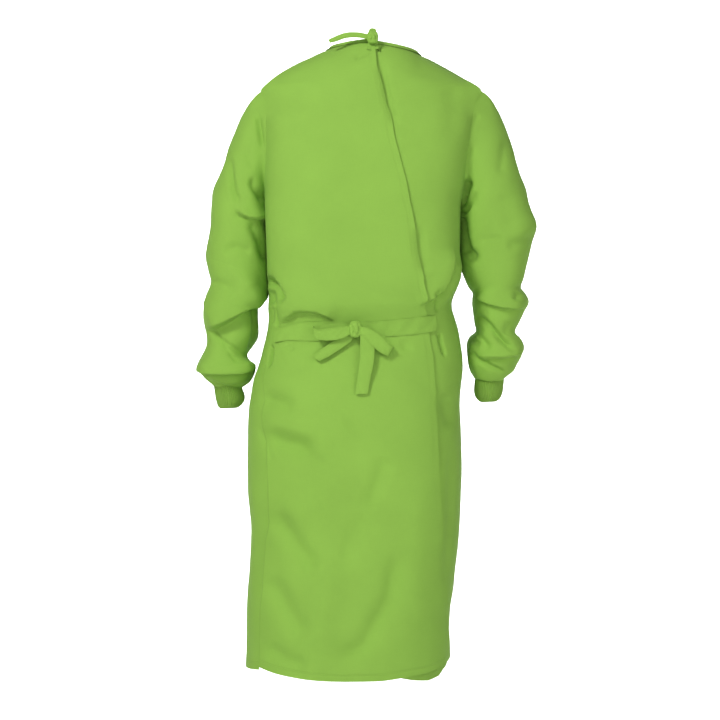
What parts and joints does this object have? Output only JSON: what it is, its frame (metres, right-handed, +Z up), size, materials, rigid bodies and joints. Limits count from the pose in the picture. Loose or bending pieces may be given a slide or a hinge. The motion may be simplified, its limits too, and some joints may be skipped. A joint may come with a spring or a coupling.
{
  "type": "hospital gown",
  "caption": "Long-sleeved back-wrap patient and isolation gown with knit cuffs, an overlapping back flap, a neck tie and a bow at the waist.",
  "frame": {"origin": "centre of the neck opening at the level of the back neckline", "axes": "+Z up to the neck, -Y the wearer's back with the wrap and the ties, +Y the wearer's front, +X the wearer's right"},
  "size_m": [0.6395, 0.2948, 1.1999],
  "materials": {
    "body_cloth": "matte plain-weave lime-green cloth",
    "sleeve_cloth": "matte plain-weave lime-green cloth",
    "cuff_knit": "ribbed lime-green knit",
    "seam_cloth": "felled seam with lockstitch in lime green",
    "hem_cloth": "turned hem with lockstitch in lime green",
    "binding_tape": "folded lime-green bias binding",
    "tie_tape": "folded and stitched lime-green tie"
  },
  "bodies": {
    "root": {"front_panel": "body_cloth", "back_panel_left": "body_cloth", "back_panel_right": "body_cloth", "armhole_seam_left": "seam_cloth", "armhole_seam_right": "seam_cloth", "shoulder_seam_left": "seam_cloth", "shoulder_seam_right": "seam_cloth", "side_seam_left": "seam_cloth", "side_seam_right": "seam_cloth", "edge_facing_left": "hem_cloth", "edge_facing_right": "hem_cloth", "hem_front": "hem_cloth", "hem_back_right": "hem_cloth", "neck_binding_front": "binding_tape", "neck_binding_back_left": "binding_tape", "neck_binding_back_right": "binding_tape", "neck_tie_left": "tie_tape", "neck_tie_right": "tie_tape", "neck_knot": "tie_tape", "neck_tie_end": "tie_tape", "waist_tie_left": "tie_tape", "waist_tie_right": "tie_tape", "waist_knot": "tie_tape"},
    "arm_left": {"sleeve_left_upper": "sleeve_cloth"},
    "forearm_left": {"sleeve_left_lower": "sleeve_cloth", "cuff_left": "cuff_knit"},
    "arm_right": {"sleeve_right_upper": "sleeve_cloth"},
    "forearm_right": {"sleeve_right_lower": "sleeve_cloth", "cuff_right": "cuff_knit"},
    "skirt_flap": {"back_panel_left_skirt": "body_cloth", "hem_back_left": "hem_cloth", "edge_facing_left_skirt": "hem_cloth"},
    "neck_tail": {"neck_tie_tail": "tie_tape"},
    "bow_loop_l": {"bow_loop_left": "tie_tape"},
    "bow_loop_r": {"bow_loop_right": "tie_tape"},
    "bow_tail_l": {"bow_tail_left": "tie_tape"},
    "bow_tail_r": {"bow_tail_right": "tie_tape"}
  },
  "joints": [
    {"name": "shoulder_left", "type": "hinge", "parent": "root", "child": "arm_left", "pos_m": [-0.20887, 0, -0.079], "axis": [0, 1, 0], "range_deg": [0, 45]},
    {"name": "elbow_left", "type": "hinge", "parent": "arm_left", "child": "forearm_left", "pos_m": [-0.26, 0.012, -0.4435], "axis": [1, 0, 0], "range_deg": [0, 60]},
    {"name": "shoulder_right", "type": "hinge", "parent": "root", "child": "arm_right", "pos_m": [0.19796, 0, -0.079], "axis": [0, -1, 0], "range_deg": [0, 45]},
    {"name": "elbow_right", "type": "hinge", "parent": "arm_right", "child": "forearm_right", "pos_m": [0.23, 0.012, -0.4435], "axis": [1, 0, 0], "range_deg": [0, 60]},
    {"name": "flap_swing", "type": "hinge", "parent": "root", "child": "skirt_flap", "pos_m": [-0.2125, -0.093, -0.66], "axis": [0, 0, -1], "range_deg": [0, 40]},
    {"name": "neck_tail_swing", "type": "hinge", "parent": "root", "child": "neck_tail", "pos_m": [-0.003, -0.07659, 0.015], "axis": [0, 1, 0], "range_deg": [0, 25]},
    {"name": "loop_left_swing", "type": "hinge", "parent": "root", "child": "bow_loop_l", "pos_m": [-0.035, -0.1361, -0.529], "axis": [0, 1, 0], "range_deg": [0, 12]},
    {"name": "loop_right_swing", "type": "hinge", "parent": "root", "child": "bow_loop_r", "pos_m": [-0.035, -0.1361, -0.529], "axis": [0, -1, 0], "range_deg": [0, 12]},
    {"name": "tail_left_swing", "type": "hinge", "parent": "root", "child": "bow_tail_l", "pos_m": [-0.035, -0.1361, -0.529], "axis": [0, 1, 0], "range_deg": [0, 10]},
    {"name": "tail_right_swing", "type": "hinge", "parent": "root", "child": "bow_tail_r", "pos_m": [-0.012, -0.148, -0.534], "axis": [0, 1, 0], "range_deg": [-12, 10]}
  ]
}
